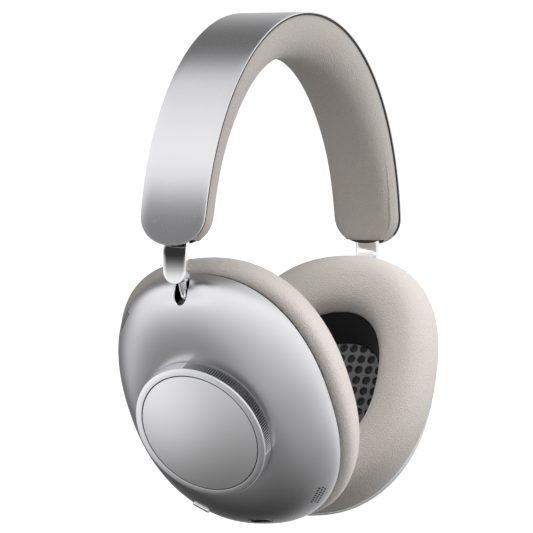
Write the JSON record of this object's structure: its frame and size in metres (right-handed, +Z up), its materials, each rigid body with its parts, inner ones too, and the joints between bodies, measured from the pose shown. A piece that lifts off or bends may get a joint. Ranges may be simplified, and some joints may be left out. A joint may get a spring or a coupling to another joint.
{
  "type": "over-ear headphones",
  "caption": "Closed over-ear headphones: curved metal headband with a leather pad, sliding arms, swivelling domed cups with a knurled dial, and oval leather ear cushions.",
  "frame": {"origin": "underside of the headband pad at the crown, on the plane of symmetry", "axes": "+Z up, X from ear to ear with the right cup on the -X side, -Y towards the wearer's front"},
  "size_m": [0.1474, 0.0866, 0.1856],
  "materials": {
    "satin_aluminium": "bead-blasted and anodised, satin silver",
    "brushed_aluminium": "fine straight brushing, silver",
    "polished_steel": "polished bright",
    "spring_steel": "bare spring steel",
    "leather": "soft light beige leather, fine grain",
    "dark_plastic": "moulded black, matt",
    "grille": "perforated, painted dark grey",
    "cable_jacket": "black flat cable",
    "driver_metal": "plated magnet cup and basket",
    "driver_film": "thin tan polymer film",
    "circuit_board": "green solder mask",
    "battery_wrap": "foil pouch"
  },
  "bodies": {
    "headband": {"headband_plate": "satin_aluminium", "headband_frame": "dark_plastic", "headband_spring": "spring_steel", "headband_cable": "cable_jacket", "headband_pad": "leather", "right_end_cap": "dark_plastic", "right_friction_leaf": "spring_steel", "right_band_screw_1": "polished_steel", "right_band_screw_2": "polished_steel", "left_end_cap": "dark_plastic", "left_friction_leaf": "spring_steel", "left_band_screw_1": "polished_steel", "left_band_screw_2": "polished_steel"},
    "right_arm": {"right_arm": "polished_steel", "right_arm_stop": "dark_plastic", "right_post": "polished_steel"},
    "right_swivel": {"right_collar": "dark_plastic"},
    "right_cup": {"right_shell": "satin_aluminium", "right_baffle": "dark_plastic", "right_cushion_ring": "dark_plastic", "right_driver": "driver_metal", "right_grille": "grille", "right_cushion": "leather", "right_pivot_bracket": "dark_plastic", "right_dial_bearing": "dark_plastic", "right_dome_switch": "spring_steel", "right_ring_screw_1": "polished_steel", "right_ring_screw_2": "polished_steel", "right_ring_screw_3": "polished_steel", "right_circuit_board": "circuit_board", "right_usb_socket": "polished_steel"},
    "right_dial": {"right_dial": "satin_aluminium"},
    "right_disc": {"right_disc": "brushed_aluminium"},
    "right_diaphragm": {"right_diaphragm": "driver_film"},
    "right_mode_button": {"right_mode_button": "satin_aluminium"},
    "left_arm": {"left_arm": "polished_steel", "left_arm_stop": "dark_plastic", "left_post": "polished_steel"},
    "left_swivel": {"left_collar": "dark_plastic"},
    "left_cup": {"left_shell": "satin_aluminium", "left_baffle": "dark_plastic", "left_cushion_ring": "dark_plastic", "left_driver": "driver_metal", "left_grille": "grille", "left_cushion": "leather", "left_pivot_bracket": "dark_plastic", "left_dial_bearing": "dark_plastic", "left_dome_switch": "spring_steel", "left_ring_screw_1": "polished_steel", "left_ring_screw_2": "polished_steel", "left_ring_screw_3": "polished_steel", "left_battery": "battery_wrap"},
    "left_dial": {"left_dial": "satin_aluminium"},
    "left_disc": {"left_disc": "brushed_aluminium"},
    "left_diaphragm": {"left_diaphragm": "driver_film"}
  },
  "joints": [
    {"name": "right_arm_slide", "type": "slide", "parent": "headband", "child": "right_arm", "axis": [-0.1895, 0, -0.9819], "range_m": [0, 0.022]},
    {"name": "right_cup_swivel", "type": "hinge", "parent": "right_arm", "child": "right_swivel", "pos_m": [-0.0626, 0, -0.0895], "axis": [-0.2588, 0, 0.9659], "range_deg": [-10, 90]},
    {"name": "right_cup_tilt", "type": "hinge", "parent": "right_swivel", "child": "right_cup", "pos_m": [-0.0626, 0, -0.0895], "axis": [0, 1, 0], "range_deg": [0, 24]},
    {"name": "right_dial_turn", "type": "hinge", "parent": "right_cup", "child": "right_dial", "pos_m": [-0.03626, 0, -0.12603], "axis": [-0.891, 0, -0.454], "continuous": true},
    {"name": "right_disc_press", "type": "slide", "parent": "right_cup", "child": "right_disc", "axis": [0.891, 0, 0.454], "range_m": [0, 0.0006], "stiffness_N_per_m": 1500, "springref_m": -0.0005},
    {"name": "right_diaphragm_travel", "type": "slide", "parent": "right_cup", "child": "right_diaphragm", "axis": [0.891, 0, 0.454], "range_m": [-0.0002, 0.0002], "stiffness_N_per_m": 1000},
    {"name": "right_mode_button_press", "type": "slide", "parent": "right_cup", "child": "right_mode_button", "axis": [0.3358, -0.339, 0.8788], "range_m": [0, 0.0005], "stiffness_N_per_m": 800, "springref_m": -0.0005},
    {"name": "left_arm_slide", "type": "slide", "parent": "headband", "child": "left_arm", "axis": [0.1895, 0, -0.9819], "range_m": [0, 0.022]},
    {"name": "left_cup_swivel", "type": "hinge", "parent": "left_arm", "child": "left_swivel", "pos_m": [0.0626, 0, -0.0895], "axis": [-0.2588, 0, -0.9659], "range_deg": [-10, 90]},
    {"name": "left_cup_tilt", "type": "hinge", "parent": "left_swivel", "child": "left_cup", "pos_m": [0.0626, 0, -0.0895], "axis": [0, -1, 0], "range_deg": [0, 24]},
    {"name": "left_dial_turn", "type": "hinge", "parent": "left_cup", "child": "left_dial", "pos_m": [0.03626, 0, -0.12603], "axis": [0.891, 0, -0.454], "continuous": true},
    {"name": "left_disc_press", "type": "slide", "parent": "left_cup", "child": "left_disc", "axis": [-0.891, 0, 0.454], "range_m": [0, 0.0006], "stiffness_N_per_m": 1500, "springref_m": -0.0005},
    {"name": "left_diaphragm_travel", "type": "slide", "parent": "left_cup", "child": "left_diaphragm", "axis": [-0.891, 0, 0.454], "range_m": [-0.0002, 0.0002], "stiffness_N_per_m": 1000}
  ]
}
